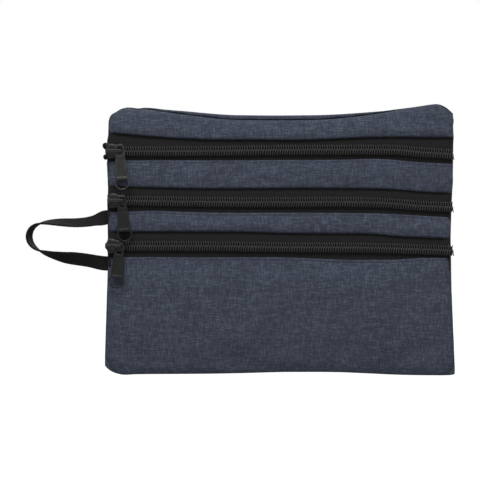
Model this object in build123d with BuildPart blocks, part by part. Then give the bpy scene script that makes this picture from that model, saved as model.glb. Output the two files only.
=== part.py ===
from build123d import *
import math
import os

# Flat travel document organizer: a soft rectangular pouch with three
# horizontal coil zippers, each with its own slider and pull tab, and a
# webbing wrist loop sewn into the left side seam.
# Frame: X to the right, Y towards the back, Z up. The front faces -Y.
# Origin: middle of the bottom edge, in the seam's mid-plane.

os.makedirs("parts", exist_ok=True)

# ------------------------------------------------------------ pouch outline
HALF_WIDTH = 107.0
TOP_LEFT_Z = 166.6
TOP_RIGHT_Z = 168.2
BACK_SAG_Z = 161.7    # middle of the back panel's top edge
FRONT_SAG_Z = 158.9   # middle of the top strip's top edge
BOTTOM_Z = 0.2
CORNER_R = 5.0

# ----------------------------------------------- layers, as (back Y, front Y)
BACK_PANEL = (3.6, 2.6)
LINING = (2.5, 2.15)
BINDING = (2.1, -2.5)
REAR_DIVIDER = (0.85, 0.5)        # between the rear and middle pockets
FRONT_DIVIDER = (-0.8, -1.15)     # between the middle and front pockets
TAPE = (-2.6, -3.2)               # zipper tape
SHELL = (TAPE[1], -4.4)           # strips and front panel
LOWER_PLATE = (-1.4, -2.4)        # slider plate behind the tape
UPPER_PLATE = (-5.85, -6.85)      # slider plate in front of the coil
BAIL_BAR = (-9.3, -10.3)
PULL_TAB = (-7.35, -8.75)

# ------------------------------------------------------------------ zippers
# x, z: centre of the closed slider; tilt: lay of the chain in degrees;
# tail: reach of the coil's curled end to the left of the slider centre;
# tab_tilt: lean of the pull tab in degrees;
# tab_slip: how far the tab hangs down from the middle of its eye
ZIPS = {
    "zip1": dict(x=-101.9, z=139.0, tilt=0.0, tail=7.25, tab_tilt=4.0, tab_slip=-0.1),
    "zip2": dict(x=-100.7, z=108.3, tilt=-0.89, tail=6.5, tab_tilt=5.0, tab_slip=1.1),
    "zip3": dict(x=-102.0, z=80.35, tilt=-0.67, tail=5.9, tab_tilt=-5.0, tab_slip=2.0),
}

# --------------------------------------------------------------- wrist strap
STRAP_WIDTH = 9.0
STRAP_THICK = 1.2
STRAP_END_Z = (98.0, 69.5)
FOLD_X = -108.3       # fold line of the strap at the seam


# ------------------------------------------------------------------- helpers
def front_plane(y, x=0.0, z=0.0, tilt=0.0):
    """Plane seen from the front: local x to the right, local y up, local z forward."""
    angle = math.radians(tilt)
    x_dir = (math.cos(angle), 0, math.sin(angle))
    return Plane(origin=(x, y, z), x_dir=x_dir, z_dir=(0, -1, 0))


def zip_plane(zipper, y):
    """Front plane centred on a zipper's slider, with local x along the chain."""
    return front_plane(y, zipper["x"], zipper["z"], zipper["tilt"])


def thickness(layer):
    back, front = layer
    return back - front


def closed(points):
    return [*points, points[0]]


def inset_corners(top_left, bottom_left, bottom_right, top_right):
    """Outline corners from (inset from the nominal side, z) pairs."""
    left = [(-HALF_WIDTH + inset, z) for inset, z in (top_left, bottom_left)]
    right = [(HALF_WIDTH - inset, z) for inset, z in (bottom_right, top_right)]
    return left + right


def export(part, name):
    part.label = name
    export_step(part, f"parts/{name}.step")


# ---------------------------------------------------------------- back sheets
def back_panel():
    corners = inset_corners(
        (0.0, TOP_LEFT_Z), (-0.2, BOTTOM_Z), (-0.9, BOTTOM_Z), (-0.4, TOP_RIGHT_Z)
    )
    with BuildPart() as panel:
        with BuildSketch(front_plane(BACK_PANEL[0])) as outline:
            with BuildLine():
                Polyline(*corners)
                ThreePointArc(corners[-1], (0, BACK_SAG_Z), corners[0])
            make_face()
            fillet(outline.vertices(), CORNER_R)
        extrude(amount=thickness(BACK_PANEL))
        fillet(panel.faces().sort_by(Axis.Y)[-1].edges(), 0.45)
    return panel.part


def back_lining():
    """Lining behind the rear pocket."""
    corners = [(-103.6, 162.0), (-103.6, 3.6), (103.9, 3.6), (103.9, 163.2)]
    with BuildPart() as lining:
        with BuildSketch(front_plane(LINING[0])):
            with BuildLine():
                Polyline(*corners)
                ThreePointArc(corners[-1], (0, 157.0), corners[0])
            make_face()
        extrude(amount=thickness(LINING))
    return lining.part


export(back_panel(), "back_panel")
export(back_lining(), "back_lining")

# ------------------------------------------------------------------ dividers
DIVIDER_HALF_WIDTH = 103.5
DIVIDER_BOTTOM_Z = 3.4
DIVIDER_THICK = 0.35
LIP_FRONT_Y = -2.55   # front face of the lip behind the zipper's upper tape


def divider(layer, turn_z, lip_height):
    """Sheet from the bottom seam up to turn_z, then forward to a lip behind the tape."""
    back, front = layer
    lip_back = LIP_FRONT_Y + DIVIDER_THICK
    profile = [
        (front, DIVIDER_BOTTOM_Z), (back, DIVIDER_BOTTOM_Z),
        (back, turn_z + DIVIDER_THICK), (lip_back, turn_z + DIVIDER_THICK),
        (lip_back, turn_z + lip_height), (LIP_FRONT_Y, turn_z + lip_height),
        (LIP_FRONT_Y, turn_z), (front, turn_z),
    ]
    side_plane = Plane(origin=(-DIVIDER_HALF_WIDTH, 0, 0), x_dir=(0, 1, 0), z_dir=(1, 0, 0))
    with BuildPart() as sheet:
        with BuildSketch(side_plane):
            with BuildLine():
                Polyline(*closed(profile))
            make_face()
        extrude(amount=2 * DIVIDER_HALF_WIDTH)
    return sheet.part


export(divider(REAR_DIVIDER, turn_z=117.2, lip_height=2.6), "divider_rear")
export(divider(FRONT_DIVIDER, turn_z=88.9, lip_height=2.4), "divider_front")

# --------------------------------------------------------------- front shell
SHELL_EDGE_R = 0.5
TOP_STRIP_DROP = 0.8  # top strip's corners below the back panel's

# corners in order: top left, bottom left, bottom right, top right
TOP_STRIP = inset_corners(
    (0.3, TOP_LEFT_Z - TOP_STRIP_DROP), (0.3, 148.7),
    (0.0, 147.3), (0.0, TOP_RIGHT_Z - TOP_STRIP_DROP),
)
BANDS = {
    "strip_upper": inset_corners((0.3, 133.2), (0.2, 116.9), (0.0, 113.4), (0.0, 131.8)),
    "strip_lower": inset_corners((0.2, 101.7), (0.2, 89.2), (0.3, 85.2), (0.2, 97.9)),
    "front_panel": inset_corners(
        (0.2, 73.3), (0.0, BOTTOM_Z + 0.6), (-0.5, BOTTOM_Z + 0.5), (0.4, 71.9)
    ),
}


def top_strip():
    with BuildPart() as strip:
        with BuildSketch(front_plane(SHELL[0])) as outline:
            with BuildLine():
                Polyline(*TOP_STRIP)
                ThreePointArc(TOP_STRIP[-1], (0, FRONT_SAG_Z), TOP_STRIP[0])
            make_face()
            fillet(outline.vertices().sort_by(Axis.Y)[-2:], CORNER_R - 0.5)
        extrude(amount=thickness(SHELL))
        fillet(strip.faces().sort_by(Axis.Y)[0].edges(), SHELL_EDGE_R)
    return strip.part


def shell_band(corners, round_bottom):
    """Straight-edged piece of the front, with softened front edges."""
    with BuildPart() as band:
        with BuildSketch(front_plane(SHELL[0])) as outline:
            with BuildLine():
                Polyline(*closed(corners))
            make_face()
            if round_bottom:
                fillet(outline.vertices().sort_by(Axis.Y)[:2], CORNER_R)
        extrude(amount=thickness(SHELL))
        fillet(band.faces().sort_by(Axis.Y)[0].edges(), SHELL_EDGE_R)
    return band.part


export(top_strip(), "top_strip")
for name, corners in BANDS.items():
    export(shell_band(corners, round_bottom=name == "front_panel"), name)

# -------------------------------------------------------------- topstitching
STITCH_HALF_LENGTH = 105.6
STITCH_DROP = 1.7     # below the top edge of each band
STITCH_WIDTH = 0.35
STITCH_HEIGHT = 0.2


def topstitching():
    """A raised line along the top edge of each band."""
    with BuildPart() as stitching:
        for corners in BANDS.values():
            left_z = corners[0][1] - STITCH_DROP
            right_z = corners[-1][1] - STITCH_DROP
            line = [
                (-STITCH_HALF_LENGTH, left_z), (-STITCH_HALF_LENGTH, left_z - STITCH_WIDTH),
                (STITCH_HALF_LENGTH, right_z - STITCH_WIDTH), (STITCH_HALF_LENGTH, right_z),
            ]
            with BuildSketch(front_plane(SHELL[1])):
                with BuildLine():
                    Polyline(*closed(line))
                make_face()
            extrude(amount=STITCH_HEIGHT)
    return stitching.part


export(topstitching(), "topstitching")

# -------------------------------------------------------------- seam binding
BINDING_DROP = 0.6    # top corners below the back panel's
PLATE_GROOVE = (-1.15, -3.15)
GROOVE_LENGTH = 240.0
GROOVE_HEIGHT = 11.2
GROOVE_MIDDLE = 103.0     # along the chain from the slider centre
SLOT_X = -106.0
SLOT_LENGTH = 6.0
SLOT_GAP = 0.1        # clearance on each side of the strap


def seam_binding():
    """Folded band that joins front and back along all four sides."""
    outer = inset_corners(
        (0.3, TOP_LEFT_Z - BINDING_DROP), (0.1, BOTTOM_Z + 0.3),
        (-0.6, BOTTOM_Z + 0.3), (-0.1, TOP_RIGHT_Z - BINDING_DROP),
    )
    inner = [(-103.7, 162.2), (-103.7, 3.3), (104.0, 3.3), (104.0, 163.4)]
    with BuildPart() as binding:
        with BuildSketch(front_plane(BINDING[0])) as outline:
            with BuildLine():
                Polyline(*outer)
                ThreePointArc(outer[-1], (0, FRONT_SAG_Z + 1.4), outer[0])
            make_face()
            fillet(outline.vertices(), CORNER_R - 0.4)
            with BuildLine():
                Polyline(*inner)
                ThreePointArc(inner[-1], (0, 157.2), inner[0])
            make_face(mode=Mode.SUBTRACT)
        extrude(amount=thickness(BINDING))
        # room for the slider's lower plate at both ends of each zipper
        for zipper in ZIPS.values():
            with BuildSketch(zip_plane(zipper, PLATE_GROOVE[0])):
                with Locations((GROOVE_MIDDLE, 0)):
                    Rectangle(GROOVE_LENGTH, GROOVE_HEIGHT)
            extrude(amount=thickness(PLATE_GROOVE), mode=Mode.SUBTRACT)
        # slots for the sewn-in ends of the wrist strap
        for end_z in STRAP_END_Z:
            with BuildSketch(front_plane(STRAP_THICK / 2 + SLOT_GAP, SLOT_X, end_z)):
                Rectangle(SLOT_LENGTH, STRAP_WIDTH + 2 * SLOT_GAP)
            extrude(amount=STRAP_THICK + 2 * SLOT_GAP, mode=Mode.SUBTRACT)
    return binding.part


export(seam_binding(), "seam_binding")

# -------------------------------------------------------------- zipper tapes
# inset from the pouch sides, then edges measured from the chain's centre line
TAPE_END_INSET = 0.4
TAPE_INNER = 1.5
TAPE_OUTER = 13.0


def tape(zipper, side):
    """Flat woven tape above (side 1) or below (side -1) the chain."""
    left = -HALF_WIDTH + TAPE_END_INSET - zipper["x"]
    right = HALF_WIDTH - TAPE_END_INSET - zipper["x"]
    with BuildPart() as strip:
        with BuildSketch(zip_plane(zipper, TAPE[0])):
            with Locations(((left + right) / 2, side * (TAPE_INNER + TAPE_OUTER) / 2)):
                Rectangle(right - left, TAPE_OUTER - TAPE_INNER)
        extrude(amount=thickness(TAPE))
    return strip.part


# -------------------------------------------------------------- zipper coils
COIL_HEIGHT = 2.4     # in front of the tape
COIL_PITCH = 1.5
LOOP_WIDTH = 0.65
LOOP_REACH = 0.55     # past the centre line
LOOP_TIP = 0.14       # length of the tapered loop tip
COIL_OUTER = 3.0      # outer edge from the centre line
COIL_SPINE = 0.85     # width of the stitched outer edge
COIL_INNER = COIL_OUTER - COIL_SPINE
COIL_START = -1.0     # left end of the looped stretch, from the slider centre
CHAIN_END_X = 105.6   # where each chain runs into the right seam


def coil(zipper, side):
    """Coil half above (side 1) or below (side -1) the centre line.

    Closed loops to the right of the slider; the bare outer edge runs on
    through the slider to a short curled end at the left seam.
    """
    end = CHAIN_END_X - zipper["x"]
    first_loop = 0.0 if side > 0 else COIL_PITCH / 2
    loop_count = int((end - 1.0 - first_loop) / COIL_PITCH)
    outer = side * COIL_OUTER
    inner = side * COIL_INNER
    tip = -side * LOOP_REACH
    shoulder = -side * (LOOP_REACH - LOOP_TIP)

    loops = [(COIL_START, outer), (COIL_START, inner)]
    for i in range(loop_count):
        left = first_loop + i * COIL_PITCH - LOOP_WIDTH / 2
        right = left + LOOP_WIDTH
        loops += [
            (left, inner), (left + 0.08, shoulder), (left + 0.2, tip),
            (right - 0.2, tip), (right - 0.08, shoulder), (right, inner),
        ]
    loops += [(end, inner), (end, outer)]

    tail = -zipper["tail"]
    curl = [
        (-0.9, outer), (-5.0, outer), (tail, side * (COIL_OUTER + 1.6)),
        (tail - 0.7, side * (COIL_OUTER + 1.1)), (tail - 0.7, side * (COIL_OUTER + 0.3)),
        (-5.2, inner), (-0.9, inner),
    ]
    with BuildPart() as half:
        with BuildSketch(zip_plane(zipper, TAPE[1])):
            with BuildLine():
                Polyline(*closed(loops))
            make_face()
            with BuildLine():
                Polyline(*closed(curl))
            make_face()
        extrude(amount=COIL_HEIGHT)
    return half.part


# ------------------------------------------------------------------- sliders
# Slider points are (along the chain from the slider centre, up).
SLIDER_HALF_LENGTH = 5.8
SHOULDER_HALF_WIDTH = 4.6
TAIL_HALF_WIDTH = 3.8
FLANGE_BACK_Y = -3.65
FOOT_X = 3.3          # the bail's round foot, which carries the pull tab
FOOT_R = 0.85

# upper half of the plate: blunt nose (left), shoulder, narrower tail (right)
PLATE_HALF = [
    (-SLIDER_HALF_LENGTH, 1.2),
    (-SLIDER_HALF_LENGTH + 1.2, 2.6),
    (-SLIDER_HALF_LENGTH + 1.5, SHOULDER_HALF_WIDTH - 0.8),
    (-SLIDER_HALF_LENGTH + 2.3, SHOULDER_HALF_WIDTH),
    (-1.0, SHOULDER_HALF_WIDTH),
    (1.6, TAIL_HALF_WIDTH),
    (SLIDER_HALF_LENGTH - 1.0, TAIL_HALF_WIDTH),
    (SLIDER_HALF_LENGTH, TAIL_HALF_WIDTH - 1.0),
]
PLATE = PLATE_HALF + [(x, -y) for x, y in reversed(PLATE_HALF)]
WEDGE = [(-5.4, 0.0), (-4.6, -1.1), (-3.4, -1.1), (-1.8, 0.0), (-3.4, 1.1), (-4.6, 1.1)]
# raised field above the bail; the lower one is its mirror image
FIELD = [
    (-3.7, 1.9), (4.5, 1.9), (4.5, 3.0), (1.4, 3.05), (-1.1, 3.85), (-3.2, 3.85), (-3.7, 3.3),
]
BAR = [
    (-5.15, 0.8), (-5.15, -0.8), (-4.6, -1.25), (1.4, -1.2), (2.6, -0.95),
    (FOOT_X + 0.95, -0.9), (FOOT_X + 0.95, 0.9), (2.6, 0.95), (1.4, 1.2), (-4.6, 1.25),
]


def slider(zipper):
    with BuildPart() as body:
        for plate in (LOWER_PLATE, UPPER_PLATE):
            with BuildSketch(zip_plane(zipper, plate[0])):
                with BuildLine():
                    Polyline(*closed(PLATE))
                make_face()
            extrude(amount=thickness(plate))
        chamfer(body.faces().sort_by(Axis.Y)[0].edges(), 0.4)
        # side flanges that hold the coil, reaching back from the upper plate
        with BuildSketch(zip_plane(zipper, FLANGE_BACK_Y)):
            for side in (1, -1):
                with Locations((1.6, side * 3.56)):
                    Rectangle(6.2, 0.44)
        extrude(amount=FLANGE_BACK_Y - UPPER_PLATE[0] + 0.3)
        # wedge that parts the two coils and joins the plates
        with BuildSketch(zip_plane(zipper, LOWER_PLATE[1] + 0.2)):
            with BuildLine():
                Polyline(*closed(WEDGE))
            make_face()
        extrude(amount=LOWER_PLATE[1] - UPPER_PLATE[0] + 0.4)
        # bail feet: square at the nose, round at the tail
        with BuildSketch(zip_plane(zipper, UPPER_PLATE[1] + 0.2)):
            with Locations((-4.1, 0)):
                RectangleRounded(1.9, 2.3, 0.4)
            with Locations((FOOT_X, 0)):
                Circle(FOOT_R)
        extrude(amount=UPPER_PLATE[1] - BAIL_BAR[0] + 0.4)
        # raised fields on the upper plate, one on each side of the bail
        with BuildSketch(zip_plane(zipper, UPPER_PLATE[1] + 0.1)):
            for side in (1, -1):
                with BuildLine():
                    Polyline(*closed([(x, side * y) for x, y in FIELD]))
                make_face()
        extrude(amount=0.35)
        # flat bar across the bail feet
        with BuildSketch(zip_plane(zipper, BAIL_BAR[0])):
            with BuildLine():
                Polyline(*closed(BAR))
            make_face()
        extrude(amount=thickness(BAIL_BAR))
        chamfer(body.faces().sort_by(Axis.Y)[0].edges(), 0.35)
    return body.part


# ----------------------------------------------------------------- pull tabs
# Tab points are (across, up) from the middle of the eye.
TAB_REACH = 24.3      # middle of the eye to the far end
EYE_WIDTH = 3.6
EYE_LENGTH = 6.0
RING_R = 4.7
RING_HOLE_R = 3.85
RING_Y = RING_R - TAB_REACH
HOLE_FLAT = 1.84      # flat side of the D-shaped hole, above the ring centre
CHANNEL_DEPTH = 0.45

TAB_BODY = [
    (-2.95, 1.6), (-3.05, -4.0), (-4.25, RING_Y + 0.7), (4.25, RING_Y + 0.7), (3.05, -4.0),
    (2.95, 1.6), (2.3, 3.2), (1.2, 4.1), (-1.2, 4.1), (-2.3, 3.2),
]
CHANNEL = [(-2.15, -4.4), (-3.0, RING_Y + 3.3), (3.0, RING_Y + 3.3), (2.15, -4.4)]


def pull_tab(zipper):
    """Flat tab on the bail's round foot: slotted eye, recessed channel, ring at the end."""
    foot = zip_plane(zipper, PULL_TAB[0]).from_local_coords(Vector(FOOT_X, 0, 0))
    angle = math.radians(zipper["tab_tilt"])
    tab_up = Vector(-math.sin(angle), 0, math.cos(angle))
    eye = foot - tab_up * zipper["tab_slip"]
    back = front_plane(eye.Y, eye.X, eye.Z, zipper["tab_tilt"])
    channel_floor = back.offset(thickness(PULL_TAB) - CHANNEL_DEPTH)
    half_chord = math.sqrt(RING_HOLE_R**2 - HOLE_FLAT**2)
    flat_left = (-half_chord, RING_Y + HOLE_FLAT)
    flat_right = (half_chord, RING_Y + HOLE_FLAT)
    with BuildPart() as tab:
        with BuildSketch(back):
            with BuildLine():
                Polyline(*closed(TAB_BODY))
            make_face()
            with Locations((0, RING_Y)):
                Circle(RING_R)
            SlotOverall(EYE_LENGTH, EYE_WIDTH, rotation=90, mode=Mode.SUBTRACT)
            # D-shaped hole, flat on the side towards the eye
            with BuildLine():
                Line(flat_left, flat_right)
                ThreePointArc(flat_right, (0, RING_Y - RING_HOLE_R), flat_left)
            make_face(mode=Mode.SUBTRACT)
        extrude(amount=thickness(PULL_TAB))
        chamfer(tab.faces().sort_by(Axis.Y)[0].outer_wire().edges(), 0.25)
        chamfer(tab.faces().sort_by(Axis.Y)[-1].outer_wire().edges(), 0.2)
        # recessed channel between the rims
        with BuildSketch(channel_floor):
            with BuildLine():
                Polyline(*closed(CHANNEL))
            make_face()
        extrude(amount=1.0, mode=Mode.SUBTRACT)
    return tab.part


for name, zipper in ZIPS.items():
    for side_name, side in (("upper", 1), ("lower", -1)):
        export(tape(zipper, side), f"{name}_tape_{side_name}")
        export(coil(zipper, side), f"{name}_coil_{side_name}")
    export(slider(zipper), f"{name}_slider")
    export(pull_tab(zipper), f"{name}_pull_tab")

# ---------------------------------------------------------------- wrist loop
SEWN_LEFT_X = FOLD_X + 0.75
SEWN_RIGHT_X = -104.2
ROOT_X = FOLD_X - 0.8     # a short straight stretch lies between here and the fold

# The strap leaves the seam flat, turns past flat-on along each arm and bends
# round at the far end. Columns: x and z of the strap's centre, and how far
# its width has turned out of the X-Z plane, in degrees.
STATIONS = [
    (ROOT_X, STRAP_END_Z[0], 0.0),
    (-113.3, 96.4, 40.0), (-118.6, 95.3, 51.0), (-123.6, 94.8, 55.0),
    (-128.8, 94.7, 58.0), (-135.4, 94.9, 64.0), (-139.9, 95.0, 69.0),
    (-144.3, 94.9, 78.0), (-148.4, 94.3, 90.0), (-151.4, 93.1, 100.0),
    (-153.8, 91.0, 109.0), (-155.2, 88.4, 114.0), (-155.5, 85.7, 116.0),
    (-154.7, 82.9, 113.0), (-152.9, 80.3, 105.0), (-150.6, 78.4, 97.0),
    (-148.7, 77.3, 90.0), (-146.3, 76.4, 79.0), (-142.1, 75.1, 67.0),
    (-137.2, 74.0, 56.0), (-132.9, 73.2, 43.0), (-127.9, 72.6, 31.0),
    (-122.1, 71.9, 26.0), (-117.0, 71.1, 24.0), (-112.4, 70.1, 15.0),
    (ROOT_X, STRAP_END_Z[1], 0.0),
]


def wrist_loop_ends():
    """The two ends of the strap, sewn into the seam."""
    with BuildPart() as ends:
        for end_z in STRAP_END_Z:
            with BuildSketch(front_plane(STRAP_THICK / 2, z=end_z)):
                with Locations(((SEWN_LEFT_X + SEWN_RIGHT_X) / 2, 0)):
                    Rectangle(SEWN_RIGHT_X - SEWN_LEFT_X, STRAP_WIDTH)
            extrude(amount=STRAP_THICK)
    return ends.part


def station_plane(i):
    """Plane across the strap at station i, with local x along the strap's width."""
    x, z, turn = STATIONS[i]
    if i == 0:
        ahead = Vector(-1, 0, 0)
    elif i == len(STATIONS) - 1:
        ahead = Vector(1, 0, 0)
    else:
        before, after = STATIONS[i - 1], STATIONS[i + 1]
        ahead = Vector(after[0] - before[0], 0, after[1] - before[1]).normalized()
    angle = math.radians(turn)
    in_plane = Vector(-ahead.Z, 0, ahead.X)
    across = in_plane * math.cos(angle) + Vector(0, -1, 0) * math.sin(angle)
    return Plane(origin=(x, 0, z), x_dir=tuple(across), z_dir=tuple(ahead))


def wrist_loop():
    """The free loop, with a rounded root at each end."""
    half = STRAP_THICK / 2
    with BuildPart() as loop:
        for i in range(len(STATIONS)):
            with BuildSketch(station_plane(i)):
                Rectangle(STRAP_WIDTH, STRAP_THICK)
        loft(ruled=True)
        # rounded roots, centred on the fold line
        for end_z in STRAP_END_Z:
            with BuildSketch(Plane.XY.offset(end_z - STRAP_WIDTH / 2)):
                with BuildLine():
                    Polyline((FOLD_X, half), (ROOT_X, half), (ROOT_X, -half), (FOLD_X, -half))
                    ThreePointArc((FOLD_X, -half), (FOLD_X + half, 0), (FOLD_X, half))
                make_face()
            extrude(amount=STRAP_WIDTH)
    return loop.part


export(wrist_loop_ends(), "wrist_loop_ends")
export(wrist_loop(), "wrist_loop")
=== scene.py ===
# A flat fabric pouch with three zippers across its front and a wrist strap at its left side.
# It stands upright, seen from -Y: X runs right, Y back and Z up, with the floor at Z = 0.
# The side seams lie in the plane Y = 0.

import math

import bmesh
import bpy
import numpy as np
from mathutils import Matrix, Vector


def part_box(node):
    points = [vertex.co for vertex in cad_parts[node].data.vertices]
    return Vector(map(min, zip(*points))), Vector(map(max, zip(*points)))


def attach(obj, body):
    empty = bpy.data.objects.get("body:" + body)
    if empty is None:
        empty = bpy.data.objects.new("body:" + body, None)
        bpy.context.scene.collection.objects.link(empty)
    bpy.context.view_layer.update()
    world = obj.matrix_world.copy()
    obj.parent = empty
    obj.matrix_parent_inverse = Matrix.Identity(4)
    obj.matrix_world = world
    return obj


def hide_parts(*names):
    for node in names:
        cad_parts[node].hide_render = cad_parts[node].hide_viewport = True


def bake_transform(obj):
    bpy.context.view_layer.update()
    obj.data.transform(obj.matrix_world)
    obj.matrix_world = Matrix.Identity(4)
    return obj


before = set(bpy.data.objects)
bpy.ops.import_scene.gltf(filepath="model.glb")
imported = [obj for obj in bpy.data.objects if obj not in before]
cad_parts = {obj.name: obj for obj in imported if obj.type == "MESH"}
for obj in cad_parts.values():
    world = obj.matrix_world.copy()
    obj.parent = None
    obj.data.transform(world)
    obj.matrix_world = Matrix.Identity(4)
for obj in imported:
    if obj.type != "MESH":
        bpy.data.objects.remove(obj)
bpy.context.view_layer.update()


scene = bpy.context.scene
MM = 0.001

# --------------------------------------------------------------------------
# Lay of the pouch, in millimetres. "Depth" is the distance in front of the
# side seams, towards -Y. Zippers are numbered 1 to 3 from the top.
# --------------------------------------------------------------------------


def curve(points):
    """Smooth function through (place, value) points, level beyond both ends."""
    places, values = np.array(points, float).T
    slopes = np.gradient(values, places)

    def value_at(place):
        place = np.asarray(place, float)
        i = np.clip(np.searchsorted(places, place) - 1, 0, len(places) - 2)
        step = places[i + 1] - places[i]
        t = np.clip((place - places[i]) / step, 0, 1)
        return (
            (2 * t**3 - 3 * t**2 + 1) * values[i]
            + (t**3 - 2 * t**2 + t) * step * slopes[i]
            + (-2 * t**3 + 3 * t**2) * values[i + 1]
            + (t**3 - t**2) * step * slopes[i + 1]
        )

    return value_at


def smooth(t):
    """Eased step from 0 to 1, held outside that range."""
    t = np.clip(t, 0, 1)
    return t * t * (3 - 2 * t)


def mixed(start, end, share):
    return start + (end - start) * share


def ridge(distance, width):
    """Bell of height 1 around distance 0."""
    return np.exp(-((distance / width) ** 2))


def quarter_round(distance, radius):
    """Rise from 0 at an edge to 1 at the radius, along a quarter circle."""
    return np.sqrt(1 - np.clip(1 - distance / radius, 0, 1) ** 2)


def signed_power(value, power):
    return np.sign(value) * np.abs(value) ** power


# side edges: (z, x)
x_left = curve([
    (-4, -108.1), (8.5, -108.1), (12, -108.1), (16.7, -107.9), (19.5, -107.65), (24, -107.35),
    (29, -107.0), (34, -106.8), (41.5, -106.6), (49, -106.4), (56.4, -106.25), (64, -106.15),
    (72, -106.3), (80, -106.5), (85, -106.3), (91, -106.3), (100, -106.3), (104.8, -106.4),
    (108.3, -106.75), (112, -106.3), (119, -106.3), (127, -106.4), (130.8, -106.9), (134, -106.7),
    (140, -106.5), (146, -106.7), (148.2, -106.25), (151.9, -106.0), (156, -105.9),
    (159.5, -105.8), (170, -105.8),
])
x_right = curve([
    (-4, 108.7), (6.8, 108.72), (9.3, 108.54), (14, 108.36), (19, 108.25), (24, 108.04),
    (29, 107.74), (36.5, 107.5), (41.5, 107.2), (49, 106.97), (54, 106.66), (61.4, 106.4),
    (66.3, 106.15), (71.3, 105.75), (74.0, 105.5), (77.4, 106.3), (81, 105.6), (86, 105.8),
    (91, 106.15), (95, 106.3), (98.6, 105.85), (101, 106.2), (104, 106.8), (108.5, 106.8),
    (113.5, 107.1), (118.4, 107.55), (124, 107.6), (128.3, 107.25), (132, 107.6), (137, 107.8),
    (140.7, 107.1), (143.2, 107.7), (148.2, 108.1), (151, 107.8), (154.4, 107.5), (157.5, 108.15),
    (159.3, 107.9), (170, 107.8),
])
# top and bottom edges: (x, z)
z_top = curve([
    (-106.6, 155.5), (-105.9, 158.3), (-105.28, 160.4), (-104.5, 161.6), (-103.42, 162.5),
    (-102.18, 163.2), (-100.94, 163.9), (-99.7, 164.7), (-98.46, 165.4), (-97.0, 165.85),
    (-94.74, 166.2), (-92.5, 166.1), (-89.78, 165.75), (-87.6, 165.6), (-85.6, 165.9),
    (-83.0, 166.02), (-78.62, 165.74), (-73.66, 165.12), (-67.46, 164.54), (-58.16, 163.8),
    (-48.86, 162.9), (-39.56, 162.1), (-30.26, 161.53), (-20.96, 161.39), (-11.66, 161.28),
    (-2.36, 161.24), (6.94, 161.3), (16.24, 161.39), (25.54, 161.54), (34.84, 161.96),
    (44.14, 162.52), (53.44, 163.25), (62.74, 164.01), (72.04, 165.18), (81.34, 166.41),
    (88.78, 167.51), (91.26, 167.9), (93.74, 168.2), (96.0, 168.25), (98.08, 167.8),
    (99.94, 167.05), (101.8, 165.94), (103.66, 164.51), (104.9, 163.3), (106.14, 161.95),
    (107.38, 160.1), (108.0, 158.6), (108.6, 156),
])
z_bottom = curve([
    (-108.3, 9.8), (-107.76, 8.5), (-107.14, 7.1), (-106.52, 6.07), (-105.9, 5.26),
    (-104.66, 4.01), (-103.42, 3.05), (-102.18, 2.34), (-100.94, 1.78), (-99.7, 1.35),
    (-98.46, 1.0), (-95.98, 0.55), (-93.5, 0.45), (-89.78, 0.7), (-82.96, 0.83), (-64.36, 0.94),
    (-45.76, 1.06), (-36.46, 1.19), (-27.16, 1.38), (-17.86, 1.6), (-8.56, 1.88), (0.74, 2.11),
    (10.04, 2.17), (19.34, 2.18), (28.64, 2.15), (37.94, 2.0), (47.24, 1.63), (56.54, 1.2),
    (65.84, 0.75), (75.14, 0.4), (84.44, 0.22), (93.74, 0.14), (101, 0.14), (103.66, 0.28),
    (104.9, 0.55), (106.14, 1.15), (107.38, 2.25), (108.0, 3.4), (108.62, 5.5), (108.9, 8),
])
# how far the front strip's top edge hangs below the back panel's: (x, drop)
slip = curve([
    (-107, 0.2), (-97, 0.3), (-88, 0.8), (-70, 1.7), (-45, 2.6), (-20, 3.1), (0, 3.1), (25, 3.0),
    (45, 2.4), (62, 1.5), (74, 0.9), (86, 0.4), (97, 0.25), (108, 0.2),
])

# fabric edges above (UP) and below (LO) each zipper: (x, z)
ZIP_UP = {
    1: curve([
        (-107, 150.4), (-98.8, 149.9), (-89.5, 148.9), (-78, 148.0), (-61.6, 146.9), (-49, 146.3),
        (-12, 146.0), (12.8, 145.8), (37.6, 146.8), (50, 147.4), (62.4, 147.8), (87, 147.6),
        (108, 147.5),
    ]),
    2: curve([
        (-107, 117.3), (-89.5, 116.9), (-80, 116.6), (-49, 115.9), (-12, 116.0), (13, 116.1),
        (45, 115.9), (62, 115.7), (75, 115.0), (87, 114.0), (97, 113.4), (108, 113.1),
    ]),
    3: curve([
        (-107, 89.2), (-50, 89.2), (-24, 89.1), (-12, 88.7), (13, 88.1), (40, 88.0), (55, 87.8),
        (65, 87.1), (75, 86.2), (93, 85.4), (108, 84.8),
    ]),
}
ZIP_LO = {
    1: curve([
        (-107, 133.1), (-89.5, 133.3), (-37, 133.3), (0, 133.5), (38, 133.7), (58, 134.2),
        (67, 133.9), (75, 133.2), (87, 132.1), (100, 131.4), (108, 131.1),
    ]),
    2: curve([
        (-107, 101.6), (-89.5, 101.7), (-80, 102.1), (-62, 101.5), (-49, 101.1), (13, 100.9),
        (45, 100.7), (62, 100.4), (87, 99.1), (99, 98.4), (108, 97.7),
    ]),
    3: curve([
        (-107, 73.1), (-80, 73.4), (-49, 73.2), (0, 73.2), (18, 72.8), (30, 72.2), (40, 71.8),
        (60, 71.7), (75, 71.9), (87, 72.8), (95, 73.0), (108, 72.9),
    ]),
}
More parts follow.
